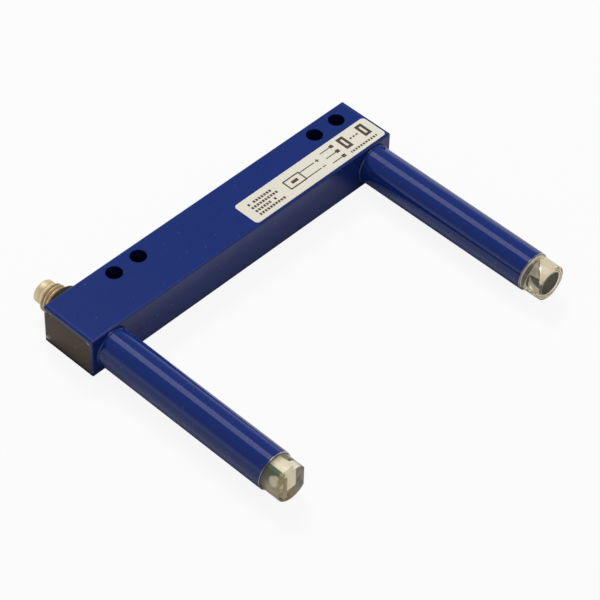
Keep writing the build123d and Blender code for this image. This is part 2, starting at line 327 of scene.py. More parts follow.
def paintFinish(name, gloss, peel):
    finish = Finish(name, {"IOR": 1.5, "Specular IOR Level": paint["specular"]})
    cloud = finish.noise(size=paint["cloud"], detail=3.0)
    mottle = finish.noise(size=paint["mottle"], detail=3.0, seed=4.0)
    tint = cloud * (1 - paint["mottleShare"]) + mottle * paint["mottleShare"]
    blue = finish.mix(tint, paint["deep"], paint["light"])
    grain = finish.noise(size=paint["dustGrain"], detail=0.0, seed=1.0)
    dust = finish.step(grain, *paint["dustSteps"]) * paint["dustTint"]
    blue = finish.mix(dust, blue, paint["dust"])
    ripple = finish.noise(size=paint["ripple"], detail=2.0, seed=2.0)
    wave = finish.noise(size=paint["wave"], detail=1.0, seed=3.0)
    finish.bump(ripple + wave * paint["waveHeight"] + dust * paint["dustHeight"], peel)
    finish.use(rough=gloss + mottle * paint["mottleRough"] + dust * paint["dustRough"])
    return finish, blue


barWear = {                                    # sizes and places in millimetres
    "gloss": 0.13,
    "peel": 0.0016,
    "holeReach": 2.26,                         # just past the hole's radius
    "holeRim": 0.12,
    "holeShadeTint": 0.8,
    # painted shade on the walls of the mounting holes
    "holeShadeColour": colour(0.0012, 0.008, 0.085),
    "endDepth": 0.15,
    "insideReach": 0.02,
    "chipGrain": 0.45,
    "raggedSteps": (0.62, 0.70),
    "raggedReach": (0.04, 0.10),
    "chipSteps": (0.30, 0.42),
    "chips": (                                 # round the resin at the bar's left end
        ((-58.4, 3.60, 9.90), 0.20, 1.0),
        ((-58.4, 1.60, 10.90), 0.16, 1.0),
        ((-58.4, 1.25, 10.92), 0.14, 1.0),
        ((-58.4, 3.45, 1.30), 0.30, 1.0),
        ((-58.4, 3.60, 1.90), 0.24, 1.0),
    ),
    "rearLine": {"at": 0.40, "half": 0.14, "top": 1.2, "bottom": 1.1, "depth": 0.3, "tint": 0.5},
    # painted highlight: a lighter line across the top face near each end
    "highlightLine": {"at": 0.78, "half": 0.17, "tint": 0.5, "colour": colour(0.030, 0.065, 0.27)},
    # painted shade: a darker band along the ends of the top face
    "shadeStrip": {"width": 0.60, "skin": 0.05, "tint": 0.5, "colour": colour(0.003, 0.016, 0.120)},
    # painted shade: darker paint on the bar's end faces
    "shadedEndFace": {"skin": 0.03, "tint": 0.7, "colour": colour(0.001, 0.012, 0.100)},
    "bareMetal": 0.5,
}


def barHoleShade(finish, blue, wear):              # painted shade: darkens the paint on the walls of the mounting holes
    sleeves = [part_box(f"spacer_sleeve_{number}") for number in range(1, 5)]
    places = [abs(low.x + high.x) / 2 for low, high in sleeves]
    middle, apart = (max(places) + min(places)) / 2, (max(places) - min(places)) / 2
    fromAxis = finish.reach(abs(abs(finish.x) - middle) - apart, finish.y)
    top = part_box("housing_bar")[1].z
    inHoleShade = (fromAxis < wear["holeReach"] * mm) * (finish.z < top - wear["holeRim"] * mm)
    return finish.mix(inHoleShade * wear["holeShadeTint"], blue, wear["holeShadeColour"])


def barPaint(wear):
    finish, blue = paintFinish("bar_paint_coat", wear["gloss"], wear["peel"])
    blue = barHoleShade(finish, blue, wear)
    low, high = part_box("housing_bar")
    plugLow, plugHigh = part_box("end_plug_left")
    middle = (plugLow + plugHigh) / 2
    across = abs(finish.y - middle.y) - (plugHigh.y - plugLow.y) / 2
    upright = abs(finish.z - middle.z) - (plugHigh.z - plugLow.z) / 2
    fromBore = across.most(upright)
    fromEnd = (finish.x - low.x).least(high.x - finish.x)
    atEnd = fromEnd < wear["endDepth"] * mm
    chip = finish.noise(size=wear["chipGrain"], detail=3.0, seed=9.0)
    nearBore = 1 - finish.step(fromBore, *[reach * mm for reach in wear["raggedReach"]])
    ragged = finish.step(chip, *wear["raggedSteps"]) * nearBore
    bare = (atEnd * ragged).most(fromBore < -wear["insideReach"] * mm)
    bare = bare.most(finish.spots(wear["chips"]) * finish.step(chip, *wear["chipSteps"]))
    line = wear["rearLine"]
    onLine = abs(finish.y - (high.y - line["at"] * mm)) < line["half"] * mm
    onLine = onLine * (finish.z < high.z - line["top"] * mm) * (finish.z > low.z + line["bottom"] * mm)
    bare = bare.most(onLine * (finish.x < low.x + line["depth"] * mm) * line["tint"])
    highlightLine, shadeStrip, shadedEndFace = wear["highlightLine"], wear["shadeStrip"], wear["shadedEndFace"]
    onTop = finish.z > high.z - shadeStrip["skin"] * mm
    onHighlightLine = (abs(fromEnd - highlightLine["at"] * mm) < highlightLine["half"] * mm) * onTop
    onShadeStrip = (fromEnd < shadeStrip["width"] * mm) * onTop
    # painted highlight line near the ends of the top face
    blue = finish.mix(onHighlightLine * highlightLine["tint"], blue, highlightLine["colour"])
    # painted shade band at the ends of the top face
    blue = finish.mix(onShadeStrip * shadeStrip["tint"], blue, shadeStrip["colour"])
    # painted shade on the end faces
    blue = finish.mix((fromEnd < shadedEndFace["skin"] * mm) * shadedEndFace["tint"], blue, shadedEndFace["colour"])
    finish.use(colour=finish.mix(bare, blue, paint["bare"]), metal=bare * wear["bareMetal"])
    return finish


tubeWear = {                                   # a bare outer rim at the tube's end, in millimetres
    "gloss": 0.06,
    "peel": 0.0010,
    "rimDepth": 0.07,
    "rimRadius": 4.96,
    "bareMetal": 0.9,
}


def tubePaint(wear):
    finish, blue = paintFinish("tube_paint_coat", wear["gloss"], wear["peel"])
    left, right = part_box("arm_tube_left"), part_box("arm_tube_right")
    middle = (left[0] + left[1] + right[0] + right[1]) / 4
    apart = (right[0].x - left[0].x) / 2
    fromAxis = finish.reach(abs(finish.x - middle.x) - apart, finish.z - middle.z)
    bare = (finish.y < left[0].y + wear["rimDepth"] * mm) * (fromAxis > wear["rimRadius"] * mm)
    finish.use(colour=finish.mix(bare, blue, paint["bare"]), metal=bare * wear["bareMetal"])
    return finish


dress(barPaint(barWear), "housing_bar")
dress(tubePaint(tubeWear), "arm_tube_left", "arm_tube_right")
print("paint mixed")


# Pieces built here ride the sensor's frame

def pieceFrom(shape, name, finish, slot, *replaced):     # turns a bmesh into a piece of the sensor
    bmesh.ops.recalc_face_normals(shape, faces=shape.faces)
    mesh = bpy.data.meshes.new(name)
    shape.to_mesh(mesh)
    shape.free()
    mesh.materials.append(finish.material)
    piece = bpy.data.objects.new(name, mesh)
    bpy.context.scene.collection.objects.link(piece)
    if replaced:
        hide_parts(*replaced)
    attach(piece, "root")
    return piece


def shadeBySharpness(piece, degrees):
    mesh = piece.data
    mesh.shade_smooth()
    mesh.set_sharp_from_angle(angle=radians(degrees))


def pullOut(shape, faces, move, keep=True):    # extrudes faces, gives back the new faces and their corners
    grown = bmesh.ops.extrude_face_region(shape, geom=faces, use_keep_orig=keep)["geom"]
    corners = [item for item in grown if isinstance(item, bmesh.types.BMVert)]
    if not keep:
        bmesh.ops.delete(shape, geom=faces, context="FACES_KEEP_BOUNDARY")
    bmesh.ops.translate(shape, verts=corners, vec=move)
    return [item for item in grown if isinstance(item, bmesh.types.BMFace)], corners


def roundEdges(shape, edges, radius, segments):          # radius in millimetres
    bmesh.ops.bevel(
        shape, geom=edges, offset=radius * mm, affect="EDGES", segments=segments, profile=0.5, material=-1
    )


def circleAlongY(shape, centre, radius, sides, capped):
    corners = bmesh.ops.create_circle(shape, cap_ends=capped, segments=sides, radius=radius)["verts"]
    bmesh.ops.rotate(shape, verts=corners, matrix=Matrix.Rotation(pi / 2, 3, "X"))
    bmesh.ops.translate(shape, verts=corners, vec=centre)


# Cast resin of the plugs

resin = {                                      # places and sizes in millimetres
    "dark": colour(0.068, 0.041, 0.022),
    "pale": colour(0.104, 0.068, 0.040),
    "scratch": colour(0.42, 0.38, 0.30),
    "glint": colour(0.92, 0.88, 0.86),
    "cloud": 5.0,
    "cloudHeight": 2.0,
    "grain": 0.35,
    "grainShare": 0.4,
    "grainRough": 0.16,
    "rough": 0.52,
    "depth": 0.012,
    "dust": {"spacing": 1.6, "size": 0.16, "share": 0.14},
    "faceSkin": 0.05,
    "scratchLine": {"y": 12.7, "z": 0.3, "slope": 0.73, "half": 0.06, "top": 1.5, "left": 10.0, "tint": 0.7},
    "patches": (
        ((-58.35, 2.70, 1.75), 0.50, 0.5),
        ((-58.35, 2.45, 2.30), 0.40, 0.5),
        ((-58.35, -6.90, 5.80), 0.32, 0.25),
    ),
    "glints": (                                # painted highlights: near-white spots where bare metal glints in the corners
        ((-58.3, -12.05, 10.62), 0.30, 1.0),
        ((-58.3, -11.60, 10.66), 0.26, 1.0),
        ((-58.3, -11.15, 10.74), 0.18, 1.0),
        ((-58.3, 2.95, 10.70), 0.24, 1.0),
        ((-58.3, 3.30, 10.45), 0.26, 1.0),
        ((-58.3, 3.42, 10.05), 0.18, 1.0),
        ((-58.3, 3.20, 1.75), 0.22, 1.0),
        ((-58.3, 3.05, 1.35), 0.24, 0.8),
    ),
    "rearEdge": {"width": 0.15, "depth": 0.2, "tint": 0.6},
}


def castResin(size):
    finish = Finish("dark_resin_cast", {"IOR": 1.5})
    cloud = finish.noise(size=size["cloud"], detail=4.0)
    grain = finish.noise(size=size["grain"], detail=3.0, seed=2.0)
    tint = cloud * (1 - size["grainShare"]) + grain * size["grainShare"]
    tone = finish.mix(tint, size["dark"], size["pale"])
    dust = finish.specks(**size["dust"], seed=3.0)
    low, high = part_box("end_plug_left")
    line, edge = size["scratchLine"], size["rearEdge"]
    down = (high.z + line["z"] * mm) - finish.z
    onLine = abs((finish.y - (low.y + line["y"] * mm)) - down * line["slope"]) < line["half"] * mm
    onLine = onLine * (finish.z > high.z - line["top"] * mm) * (finish.y > low.y + line["left"] * mm)
    atFace = finish.x < low.x + size["faceSkin"] * mm
    marks = (onLine * line["tint"]).most(finish.spots(size["patches"])) * atFace
    atRear = (finish.y > high.y - edge["width"] * mm) * (finish.x < low.x + edge["depth"] * mm)
    marks = marks.most(atRear * edge["tint"])
    tone = finish.mix(dust.most(marks), tone, size["scratch"])
    # painted highlights in the corners
    tone = finish.mix(finish.spots(size["glints"]), tone, size["glint"])
    finish.use(colour=tone, rough=size["rough"] + grain * size["grainRough"])
    finish.bump(cloud * size["cloudHeight"] + grain, size["depth"])
    return finish


cast = castResin(resin)

plugSize = {"corner": 0.48, "cornerSides": 6, "edge": 0.10, "edgeSides": 2, "sharp": 50}


def makePlug(node, side):                      # block that fills the bore up to its corners
    low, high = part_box(node)
    outer = high.x if side > 0 else low.x
    shape = bmesh.new()
    bmesh.ops.create_cube(shape, size=1.0)
    bmesh.ops.scale(shape, verts=shape.verts, vec=high - low)
    bmesh.ops.translate(shape, verts=shape.verts, vec=(low + high) / 2)
    along = [edge for edge in shape.edges if abs(edge.verts[0].co.x - edge.verts[1].co.x) > hair]
    roundEdges(shape, along, plugSize["corner"], plugSize["cornerSides"])
    rim = [edge for edge in shape.edges if all(abs(end.co.x - outer) < hair for end in edge.verts)]
    roundEdges(shape, rim, plugSize["edge"], plugSize["edgeSides"])
    piece = pieceFrom(shape, node + "_cast", cast, "dark_resin", node)
    shadeBySharpness(piece, plugSize["sharp"])
    return piece


makePlug("end_plug_left", -1)
makePlug("end_plug_right", 1)
print("plugs cast")


# Plain plastics, boards and chips

def plainFinish(name, first, second, size, rough, depth=0.01, fixed=None):
    finish = Finish(name, fixed or {})
    cloud = finish.noise(size=size, detail=3.0)
    grain = finish.noise(size=size / 6, detail=2.0, seed=3.0)
    finish.use(colour=finish.mix(cloud, first, second), rough=rough + grain * 0.12)
    finish.bump(cloud + grain, depth)
    return finish


plainLooks = {                                 # two colours, size of the clouds in millimetres and roughness
    "hole_lining_navy": {
        "nodes": [f"spacer_sleeve_{number}" for number in range(1, 5)],
        "first": colour(0.002, 0.005, 0.060),
        "second": colour(0.004, 0.008, 0.085),
        "size": 1.2,
        "rough": 0.5,
    },
    "disc_resin_cast": {
        "nodes": ["receiver_tip_disc"],
        "first": colour(0.055, 0.041, 0.024),
        "second": colour(0.085, 0.065, 0.038),
        "size": 1.4,
        "rough": 0.5,
    },
    "black_plastic_moulded": {
        "nodes": ["connector_insert"],
        "first": colour(0.006, 0.006, 0.006),
        "second": colour(0.014, 0.013, 0.012),
        "size": 1.2,
        "rough": 0.45,
    },
    "flange_black": {
        "nodes": ["connector_flange"],
        "first": colour(0.011, 0.009, 0.006),
        "second": colour(0.026, 0.021, 0.013),
        "size": 1.6,
        "rough": 0.5,
        "fixed": {"Specular IOR Level": 0.36},
    },
    "chip_black_moulded": {
        "nodes": ["detector_window", "amplifier_chip", "voltage_regulator", "output_transistor"],
        "first": colour(0.012, 0.012, 0.014),
        "second": colour(0.026, 0.026, 0.030),
        "size": 0.6,
        "rough": 0.5,
    },
    "white_plastic_cast": {
        "nodes": ["emitter_package", "photodetector"],
        "first": colour(0.92, 0.88, 0.72),
        "second": colour(0.96, 0.93, 0.80),
        "size": 2.0,
        "rough": 0.4,
    },
    "red_plastic_cast": {
        "nodes": ["indicator_chip"],
        "first": colour(0.55, 0.045, 0.02),
        "second": colour(0.68, 0.09, 0.05),
        "size": 0.6,
        "rough": 0.25,
    },
    "capacitor_case": {
        "nodes": ["filter_capacitor"],
        "first": colour(0.55, 0.30, 0.04),
        "second": colour(0.65, 0.40, 0.07),
        "size": 1.2,
        "rough": 0.4,
    },
    "pad_rubber_foam": {
        "nodes": ["board_pad_left", "board_pad_right"],
        "first": colour(0.07, 0.07, 0.07),
        "second": colour(0.12, 0.12, 0.12),
        "size": 0.5,
        "rough": 0.8,
        "depth": 0.05,
    },
    "insulation_brown_skin": {
        "nodes": ["wire_brown"],
        "first": colour(0.10, 0.04, 0.018),
        "second": colour(0.14, 0.055, 0.025),
        "size": 1.5,
        "rough": 0.4,
    },
    "insulation_blue_skin": {
        "nodes": ["wire_blue"],
        "first": colour(0.015, 0.05, 0.36),
        "second": colour(0.025, 0.07, 0.44),
        "size": 1.5,
        "rough": 0.4,
    },
    "insulation_black_skin": {
        "nodes": ["wire_black"],
        "first": colour(0.010, 0.010, 0.010),
        "second": colour(0.016, 0.016, 0.016),
        "size": 1.5,
        "rough": 0.4,
    },
    "insulation_white_skin": {
        "nodes": ["emitter_ribbon", "receiver_ribbon"],
        "first": colour(0.70, 0.70, 0.66),
        "second": colour(0.80, 0.80, 0.77),
        "size": 1.5,
        "rough": 0.45,
    },
}
plain = {}
for name, look in plainLooks.items():
    sizes = {key: value for key, value in look.items() if key != "nodes"}
    plain[name] = plainFinish(name, **sizes)
    dress(plain[name], *look["nodes"])


boardLook = {                                  # sizes in millimetres
    "mask": (colour(0.014, 0.10, 0.052), colour(0.028, 0.17, 0.085)),
    "cloud": 3.0,
    "cloudRough": 0.1,
    "rough": 0.35,
    "depth": 0.02,
    "track": colour(0.055, 0.24, 0.12),
    "trackGrain": (6.0, 0.5, 0.5),
    "trackSteps": (0.56, 0.60),
    "pad": colour(0.62, 0.58, 0.46),
    "padSpots": {"spacing": 2.2, "size": 0.7, "share": 0.4},
    "padMetal": 0.6,
}


def boardGreen(look):
    finish = Finish("board_green_mask", {})
    cloud = finish.noise(size=look["cloud"], detail=3.0)
    green = finish.mix(cloud, *look["mask"])
    tracks = finish.step(finish.stretched(size=look["trackGrain"], detail=0.0), *look["trackSteps"])
    green = finish.mix(tracks, green, look["track"])
    pads = finish.specks(**look["padSpots"], seed=5.0)
    green = finish.mix(pads, green, look["pad"])
    finish.use(colour=green, rough=look["rough"] + cloud * look["cloudRough"], metal=pads * look["padMetal"])
    finish.bump(tracks + pads, look["depth"])
    return finish


dress(boardGreen(boardLook), "receiver_board", "main_board")


emitterLook = {                                # in millimetres from the board's free end and lower edge
    "cover": (colour(0.36, 0.29, 0.17), colour(0.50, 0.42, 0.27)),
    "mask": (colour(0.008, 0.075, 0.034), colour(0.024, 0.14, 0.065)),
    "maskFromEnd": (0.6, 1.6),
    "maskFromBase": (2.2, 4.0),
    "shade": colour(0.085, 0.072, 0.036),
    "shadeFromEnd": (3.3, 4.8),
    "shadeTint": 0.75,
    "solder": colour(0.78, 0.72, 0.60),
    "solderSpots": ((2.1, 4.2, 1.30), (1.6, 5.4, 0.75)),
    "solderTint": 0.9,
    "olive": colour(0.30, 0.25, 0.085),
    "oliveFromEnd": (0.5, 1.2),
    "oliveFromBase": (1.5, 3.5),
    "oliveTint": 0.75,
    "cloud": 1.6,
    "cloudRough": 0.1,
    "drift": 2.4,
    "rough": 0.40,
    "depth": 0.03,
}


def emitterBoard(look):                        # green mask with solder, beige cover and an olive end
    finish = Finish("emitter_board_mask", {})
    low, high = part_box("emitter_board")
    cloud = finish.noise(size=look["cloud"], detail=3.0)
    drift = (cloud - 0.5) * look["drift"] * mm
    fromEnd = (finish.y - low.y + drift) / mm
    fromBase = (finish.z - low.z + drift) / mm
    masked = finish.step(fromEnd, *look["maskFromEnd"]) * finish.step(fromBase, *look["maskFromBase"])
    tone = finish.mix(masked, finish.mix(cloud, *look["cover"]), finish.mix(cloud, *look["mask"]))
    shade = finish.step(fromEnd, *look["shadeFromEnd"])
    tone = finish.mix(shade * look["shadeTint"], tone, look["shade"])
    solder = finish.spots(
        [
            ((low.x / mm, low.y / mm + reach, low.z / mm + height), radius, 1.0)
            for reach, height, radius in look["solderSpots"]
        ]
    )
    tone = finish.mix(solder * look["solderTint"], tone, look["solder"])
    olive = (1 - finish.step(fromEnd, *look["oliveFromEnd"])) * finish.step(fromBase, *look["oliveFromBase"])
    tone = finish.mix(olive * look["oliveTint"], tone, look["olive"])
    finish.use(colour=tone, rough=look["rough"] + cloud * look["cloudRough"])
    finish.bump(cloud + solder, look["depth"])
    return finish


dress(emitterBoard(emitterLook), "emitter_board")


mirrorLook = {                                 # sizes in millimetres
    "rod": (colour(0.72, 0.66, 0.52), colour(0.82, 0.76, 0.62)),
    "grain": (0.5, 6.0, 0.5),
    "depth": 0.004,
    "face": colour(0.86, 0.85, 0.82),
    "faceSkin": 0.10,
    "rodRough": 0.42,
    "faceRough": 0.06,
}


def mirrorFinish(look):                        # rod with a polished slanting face
    finish = Finish("reflector_satin", {"IOR": 1.5})
    low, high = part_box("receiver_reflector")
    slant = abs((finish.x - low.x) - (finish.y - low.y)) < look["faceSkin"] * mm
    cloud = finish.stretched(size=look["grain"], detail=3.0)
    tone = finish.mix(slant, finish.mix(cloud, *look["rod"]), look["face"])
    rough = look["rodRough"] - slant * (look["rodRough"] - look["faceRough"])
    finish.use(colour=tone, metal=slant, rough=rough)
    finish.bump(cloud, look["depth"])
    return finish


dress(mirrorFinish(mirrorLook), "receiver_reflector")
print("inner parts finished")


# Brass of the connector and gold of its pins

brassLook = {                                  # sizes in millimetres
    "tones": (colour(0.98, 0.79, 0.49), colour(1.00, 0.85, 0.58)),
    "turned": (40.0, 0.12, 40.0),
    "turnedRough": 0.10,
    "turnedDepth": 0.003,
    "tarnish": 1.6,
    "tarnishRough": 0.08,
    "rough": 0.44,
}


def brassFinish(name, look):
    finish = Finish(name, {"Metallic": 1.0})
    turned = finish.stretched(size=look["turned"], detail=2.0)
    tarnish = finish.noise(size=look["tarnish"], detail=4.0, seed=2.0)
    tone = finish.mix(tarnish, *look["tones"])
    finish.bump(turned, look["turnedDepth"])
    rough = look["rough"] + turned * look["turnedRough"] + tarnish * look["tarnishRough"]
    return finish, tone, rough


shellSize = {                                  # radii, and places behind the bar's back face, in millimetres
    "sides": 160,
    "rowHeight": 0.05,
    "back": -3.95,
    "stem": 3.10,
    "stemBore": 2.30,
    "collar": 4.15,
    "collarStart": 1.80,
    "collarEnd": 2.30,
    "edge": 0.06,
    "crest": 3.95,
    "threadEnd": 5.50,
    "threadTip": 3.50,
    "pitch": 1.0,
    "grooveDepth": 0.52,
    "grooveAt": 4.60,
    "grooveAngle": 60.0,
    "rootHalf": 0.09,
    "crestHalf": 0.08,
    "runIn": 0.5,
    "nose": 3.20,
    "ringStart": 6.42,
    "ringEnd": 6.60,
    "ringDepth": 0.05,
    "mouth": 8.30,
    "mouthEdge": 0.30,
    "mouthSides": 4,
    "bore": 2.60,
    "boreEdge": 0.05,
    "boreDepth": 4.40,
    "sharp": 40,                               # in degrees
}

shellWear = {                                  # radii and widths in millimetres
    "brass": 0.80,
    # painted shade in the ring groove on the nose
    "ring": colour(0.45, 0.30, 0.13),
    "ringHalf": 0.10,
    "ringRadius": 3.0,
    "ringShadeTint": 0.45,
    # painted shade in the roots of the thread, which are also rougher
    "threadRootShade": colour(0.30, 0.17, 0.065),
    "threadRootShadeRadii": (3.50, 3.88),
    "threadRootShadeTint": 0.62,
    "threadRootRough": 0.25,
    "collar": colour(0.050, 0.042, 0.030),
    "collarSkin": 0.04,
}


def shellProfile(size):                        # places behind the bar's back face, each with its radius
    edge, nose = size["edge"], size["nose"]
    ring = nose - size["ringDepth"]
    boreBottom = size["mouth"] - size["boreDepth"]
    profile = [
        (size["back"], size["stemBore"]),
        (size["back"], size["stem"]),
        (size["collarStart"], size["stem"]),
        (size["collarStart"], size["collar"] - edge),
        (size["collarStart"] + edge, size["collar"]),
        (size["collarEnd"] - edge, size["collar"]),
        (size["collarEnd"], size["collar"] - edge),
    ]
    rows = int((size["threadEnd"] - size["collarEnd"]) / size["rowHeight"])
    profile += [(size["collarEnd"] + size["rowHeight"] * row, size["crest"]) for row in range(rows + 1)]
    profile += [
        (size["threadEnd"], nose),
        (size["ringStart"] - edge, nose),
        (size["ringStart"], ring),
        (size["ringEnd"], ring),
        (size["ringEnd"] + edge, nose),
    ]
    for step in range(size["mouthSides"] + 1):
        angle = step / size["mouthSides"] * pi / 2
        side = nose - size["mouthEdge"] * (1 - cos(angle))
        profile.append((size["mouth"] - size["mouthEdge"] * (1 - sin(angle)), side))
    profile += [
        (size["mouth"], size["bore"] + size["boreEdge"]),
        (size["mouth"] - size["boreEdge"], size["bore"]),
        (boreBottom, size["bore"]),
        (boreBottom, size["stemBore"]),
    ]
    return profile


def threadRadius(size, reach, angle):          # right-handed ridges with a chamfered start
    pitch = size["pitch"]
    turn = (degrees(angle) - size["grooveAngle"]) / 360
    fromGroove = abs((reach - size["grooveAt"] - turn * pitch + pitch / 2) % pitch - pitch / 2)
    flank = pitch / 2 - size["rootHalf"] - size["crestHalf"]
    rise = min(max((fromGroove - size["rootHalf"]) / flank, 0), 1)
    begin = min(max((reach - size["collarEnd"]) / size["runIn"], 0), 1)
    cut = size["crest"] - size["grooveDepth"] * (1 - rise) * begin
    return min(cut, size["threadTip"] + (size["threadEnd"] - reach))


def cutThread(shape, size, axis):              # moves the crest's corners in to the thread's radius
    near = 0.01
    for corner in shape.verts:
        offset = corner.co - axis
        reach = offset.y / mm
        inThread = size["collarEnd"] - near < reach < size["threadEnd"] + near
        if inThread and abs(Vector((offset.x, offset.z)).length / mm - size["crest"]) < near:
            angle = atan2(offset.z, -offset.x)
            radius = threadRadius(size, reach, angle) * mm
            corner.co = axis + Vector((-cos(angle) * radius, offset.y, sin(angle) * radius))


def shellFinish(size, wear, axis):
    finish, tone, rough = brassFinish("connector_brass_threaded", brassLook)
    fromAxis = finish.reach(finish.x - axis.x, finish.z - axis.z) / mm
    reach = (finish.y - axis.y) / mm
    onThread = (reach > size["collarEnd"]) * (reach < size["threadEnd"])
    # painted shade in the thread's roots
    threadRootShade = (1 - finish.step(fromAxis, *wear["threadRootShadeRadii"])) * onThread
    onCollar = reach < size["collarEnd"] + wear["collarSkin"]
    # painted shade in the ring groove
    ringMiddle = (size["ringStart"] + size["ringEnd"]) / 2
    onRingShade = (abs(reach - ringMiddle) < wear["ringHalf"]) * (fromAxis > wear["ringRadius"])
    tone = finish.mix(onRingShade * wear["ringShadeTint"], tone, wear["ring"])
    tone = finish.mix(threadRootShade * wear["threadRootShadeTint"], tone, wear["threadRootShade"])
    tone = finish.mix(onCollar, tone, wear["collar"])
    rough = rough + threadRootShade * wear["threadRootRough"]
    finish.use(colour=tone, rough=rough, metal=wear["brass"] - onCollar * wear["brass"])
    return finish


def makeShell(size, wear):
    low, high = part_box("connector_shell")
    axis = Vector(((low.x + high.x) / 2, high.y - size["mouth"] * mm, (low.z + high.z) / 2))
    shape = bmesh.new()
    corners = []
    for reach, radius in shellProfile(size):
        corners.append(shape.verts.new(axis + Vector((-radius * mm, reach * mm, 0))))
    for first, second in zip(corners, corners[1:] + corners[:1]):
        shape.edges.new((first, second))
    outline = shape.edges[:]
    bmesh.ops.spin(
        shape, geom=outline, cent=axis, axis=(0, 1, 0), angle=2 * pi, steps=size["sides"], use_merge=True
    )
    cutThread(shape, size, axis)
    finish = shellFinish(size, wear, axis)
    piece = pieceFrom(shape, "connector_shell_threaded", finish, "connector_brass", "connector_shell")
    shadeBySharpness(piece, size["sharp"])
    return piece


makeShell(shellSize, shellWear)
nutBrass, nutTone, nutRough = brassFinish("connector_brass_turned", brassLook)
nutBrass.use(colour=nutTone, rough=nutRough)
dress(nutBrass, "connector_nut")


pinLook = {                                    # sizes in millimetres
    "tones": (colour(0.86, 0.60, 0.22), colour(0.94, 0.72, 0.34)),
    "cloud": 0.8,
    "cloudRough": 0.1,
    "rough": 0.16,
    "depth": 0.002,
}


def pinGold(look):
    finish = Finish("pin_gold_plated", {"Metallic": 1.0})
    cloud = finish.noise(size=look["cloud"], detail=3.0)
    tone = finish.mix(cloud, *look["tones"])
    finish.use(colour=tone, rough=look["rough"] + cloud * look["cloudRough"])
    finish.bump(cloud, look["depth"])
    return finish


dress(pinGold(pinLook), "connector_pin_1", "connector_pin_2", "connector_pin_3")
print("connector finished")


# Clear tips

clearLook = {                                  # sizes in millimetres
    "clear": (colour(0.91, 0.84, 0.69), colour(0.95, 0.90, 0.77)),
    "filling": (colour(0.70, 0.61, 0.46), colour(0.82, 0.73, 0.57)),
    "cloud": 2.5,
    "cloudRough": 0.04,
    "rough": 0.03,
    "depth": 0.01,
    "bending": 1.49,                           # index of refraction
}


def clearPlastic(name, look, through, filledFrom):       # filled with beige resin behind a place on Y
    finish = Finish(name, {"Transmission Weight": through, "IOR": look["bending"]})
    cloud = finish.noise(size=look["cloud"], detail=2.0)
    tone = finish.mix(cloud, *look["clear"])
    finish.use(colour=tone, rough=look["rough"] + cloud * look["cloudRough"])
    finish.bump(cloud, look["depth"])
    matte = {"Base Color": finish.mix(cloud, *look["filling"]), "Roughness": 1.0, "Specular IOR Level": 0.0}
    filling = finish.node("BsdfPrincipled", {}, matte)
    clearPart = Value(finish, finish.shader.outputs[0])
    both = finish.node("MixShader", {}, {0: finish.y > filledFrom, 1: clearPart, 2: filling})
    finish.feed(finish.tree.nodes["Material Output"].inputs["Surface"], both)
    return finish


tipSize = {                                    # in millimetres
    "sides": 128,
    "flatLength": 4.0,
    "edge": 0.30,
    "edgeSides": 4,
    "edgeReach": 0.60,                         # edges further in than this stay sharp
    "edgeAngle": 35,
    "sharp": 30,
    "discRecess": 0.22,
    "discRadius": 3.29,
    "discInset": 0.3,
    "emitter": {"side": -1, "flat": 3.87, "through": 0.93, "filledFrom": 0.3, "disc": False},
    "receiver": {"side": 1, "flat": 3.65, "through": 0.92, "filledFrom": 5.0, "disc": True},
}


def cutFlat(corners, axis, side, flat):        # brings the corners past the flat back to it
    for corner in corners:
        past = -side * (corner.co.x - axis.x) - flat
        if past > 0:
            corner.co.x += side * past


def sinkDisc(shape, axis, end):                # round recess in the end face
    cap = [face for face in shape.faces if face.calc_center_median().y < end + hair]
    bmesh.ops.inset_region(shape, faces=cap, thickness=tipSize["discInset"] * mm, use_boundary=True)
    for corner in {corner for face in cap for corner in face.verts}:
        offset = Vector((corner.co.x - axis.x, corner.co.z - axis.z)).normalized()
        offset *= tipSize["discRadius"] * mm
        corner.co.x, corner.co.z = axis.x + offset.x, axis.z + offset.y
    pullOut(shape, cap, (0, tipSize["discRecess"] * mm, 0), keep=False)


def endRim(shape, axis, end, side, flat, radius):        # outer edges of the end face
    rim = []
    for edge in shape.edges:
        offsets = [corner.co - axis for corner in edge.verts]
        atEnd = all(corner.co.y < end + hair for corner in edge.verts)
        inside = all(Vector((offset.x, offset.z)).length < radius for offset in offsets)
        onFlat = all(-side * offset.x > flat - hair for offset in offsets)
        sharp = edge.calc_face_angle(0) > radians(tipSize["edgeAngle"])
        if atEnd and sharp and (onFlat or not inside):
            rim.append(edge)
    return rim


def makeTip(node, size, mouth):
    low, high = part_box(node)
    radius = (high.z - low.z) / 2
    axis = Vector(((low.x + high.x) / 2, high.y, (low.z + high.z) / 2))
    side, flat, flatLength = size["side"], size["flat"] * mm, tipSize["flatLength"] * mm
    shape = bmesh.new()
    circleAlongY(shape, axis, radius, tipSize["sides"], True)
    cap, corners = pullOut(shape, shape.faces[:], (0, low.y + flatLength - high.y, 0))
    cap, corners = pullOut(shape, cap, (0, 0, 0), keep=False)
    cutFlat(corners, axis, side, flat)
    pullOut(shape, cap, (0, -flatLength, 0), keep=False)
    bmesh.ops.remove_doubles(shape, verts=shape.verts, dist=hair)
    if size["disc"]:
        sinkDisc(shape, axis, low.y)
    rim = endRim(shape, axis, low.y, side, flat, radius - tipSize["edgeReach"] * mm)
    roundEdges(shape, rim, tipSize["edge"], tipSize["edgeSides"])
    name = "clear_plastic_cast" if size["disc"] else "clear_plastic_filled"
    finish = clearPlastic(name, clearLook, size["through"], mouth + size["filledFrom"] * mm)
    piece = pieceFrom(shape, node + "_clear", finish, "clear_plastic", node)
    shadeBySharpness(piece, tipSize["sharp"])
    return piece


